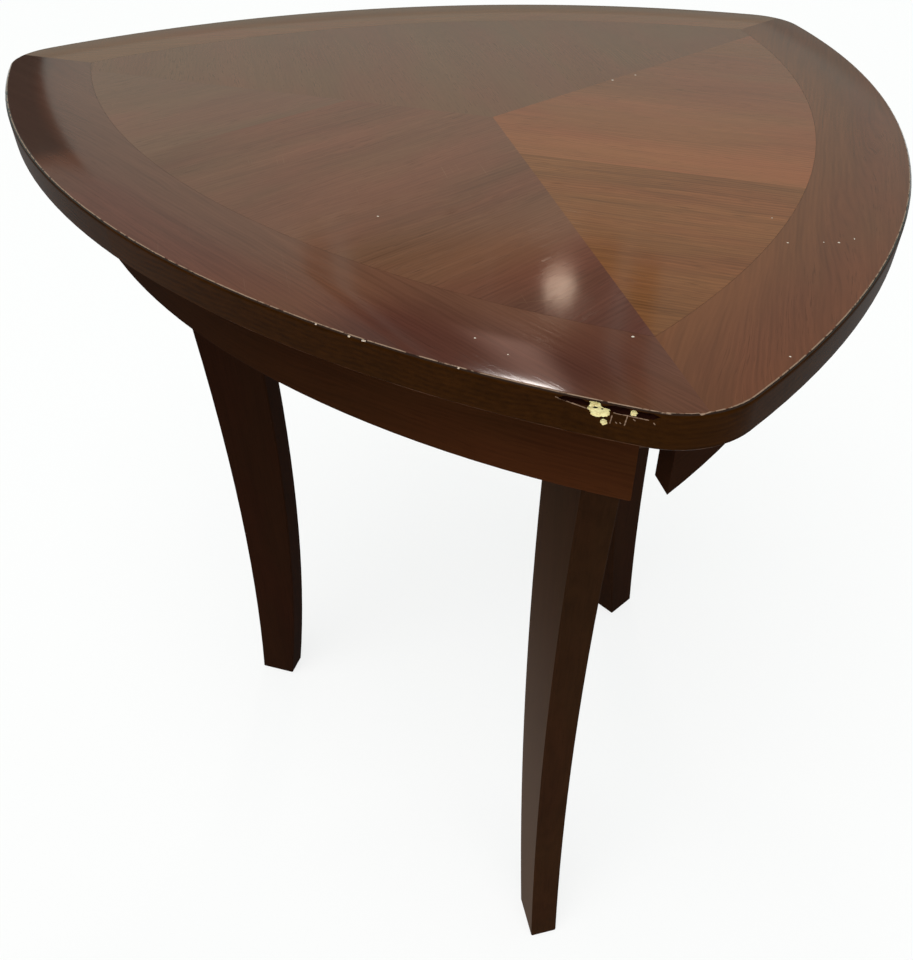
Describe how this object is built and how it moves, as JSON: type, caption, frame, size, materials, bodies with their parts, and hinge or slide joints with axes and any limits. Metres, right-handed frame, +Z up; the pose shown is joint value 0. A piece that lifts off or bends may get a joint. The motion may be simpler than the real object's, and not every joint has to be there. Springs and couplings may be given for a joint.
{
  "type": "side table",
  "caption": "Side table with a rounded triangular veneered top, curved apron rails with open corner slots and curved tapered legs.",
  "frame": {"origin": "on the floor, on the threefold axis of the table", "axes": "+Z up; one curved side faces -Y and the opposite corner points to +Y"},
  "size_m": [0.5718, 0.5689, 0.61],
  "materials": {
    "field_veneer": "satin lacquer over cherry veneer",
    "border_veneer": "satin lacquer over dark cherry veneer",
    "edge_lipping": "satin lacquer",
    "core_board": "raw fibreboard",
    "backing_veneer": "stained, unpolished",
    "frame_wood": "satin lacquer, dark cherry stain",
    "block_wood": "raw hardwood",
    "steel": "zinc plated",
    "brass": "plain",
    "glide_plastic": "matte"
  },
  "bodies": {
    "root": {"backing_veneer": "backing_veneer", "border_veneer_front": "border_veneer", "border_veneer_left": "border_veneer", "border_veneer_right": "border_veneer", "corner_block_back": "block_wood", "corner_block_front_left": "block_wood", "corner_block_front_right": "block_wood", "edge_band_back": "edge_lipping", "edge_band_front_left": "edge_lipping", "edge_band_front_right": "edge_lipping", "field_leaf_front_narrow": "field_veneer", "field_leaf_front_wide": "field_veneer", "field_leaf_left_narrow": "field_veneer", "field_leaf_left_wide": "field_veneer", "field_leaf_right_narrow": "field_veneer", "field_leaf_right_wide": "field_veneer", "foot_glide_back": "glide_plastic", "foot_glide_front_left": "glide_plastic", "foot_glide_front_right": "glide_plastic", "glue_block_front": "block_wood", "glue_block_left": "block_wood", "glue_block_right": "block_wood", "leg_back": "frame_wood", "leg_bolts": "steel", "leg_front_left": "frame_wood", "leg_front_right": "frame_wood", "leg_washers": "steel", "rail_front": "frame_wood", "rail_left": "frame_wood", "rail_right": "frame_wood", "rail_screws": "steel", "threaded_inserts": "brass", "top_core": "core_board", "top_screws": "steel"}
  },
  "joints": []
}
